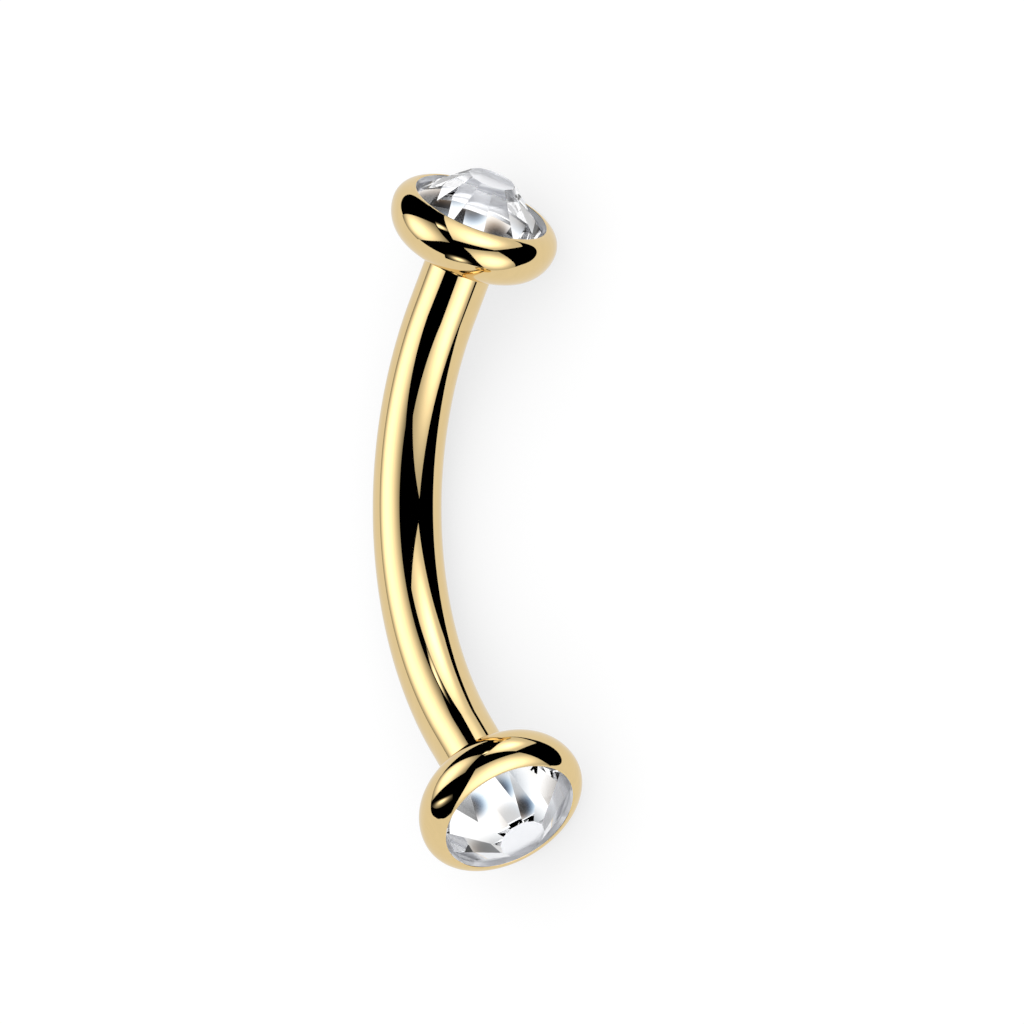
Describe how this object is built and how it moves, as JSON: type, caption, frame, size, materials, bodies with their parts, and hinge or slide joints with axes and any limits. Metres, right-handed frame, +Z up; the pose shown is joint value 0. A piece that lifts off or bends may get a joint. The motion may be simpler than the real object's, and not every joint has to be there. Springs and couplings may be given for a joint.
{
  "type": "curved eyebrow barbell",
  "caption": "Bent barbell for an eyebrow piercing, with screw-in gem ends: each is a round cup holding a clear cut stone, on a threaded post.",
  "frame": {"origin": "middle of the base of the box that holds the whole barbell, on the surface that it lies on", "axes": "+X along the bar's chord from the lower gem end to the upper one, +Y towards the outer side of the bend, +Z up, away from the surface"},
  "size_m": [0.0122, 0.004, 0.0029],
  "materials": {
    "gold_steel": "mirror-polished surgical steel with a pale gold coating; the thread is satin and the inside of each cup is bare bright steel",
    "crystal": "clear colourless cut crystal with polished facets, its flat back and upright side silvered"
  },
  "bodies": {
    "bar": {"bar": "gold_steel"},
    "upper_end": {"upper_setting": "gold_steel", "upper_stone": "crystal"},
    "lower_end": {"lower_setting": "gold_steel", "lower_stone": "crystal"}
  },
  "joints": [
    {"name": "upper_end_unscrews", "type": "slide", "parent": "bar", "child": "upper_end", "axis": [0.7965, -0.558, 0.2328], "range_m": [0, 0.0024]},
    {"name": "lower_end_unscrews", "type": "slide", "parent": "bar", "child": "lower_end", "axis": [-0.7965, -0.558, 0.2328], "range_m": [0, 0.0024]}
  ]
}
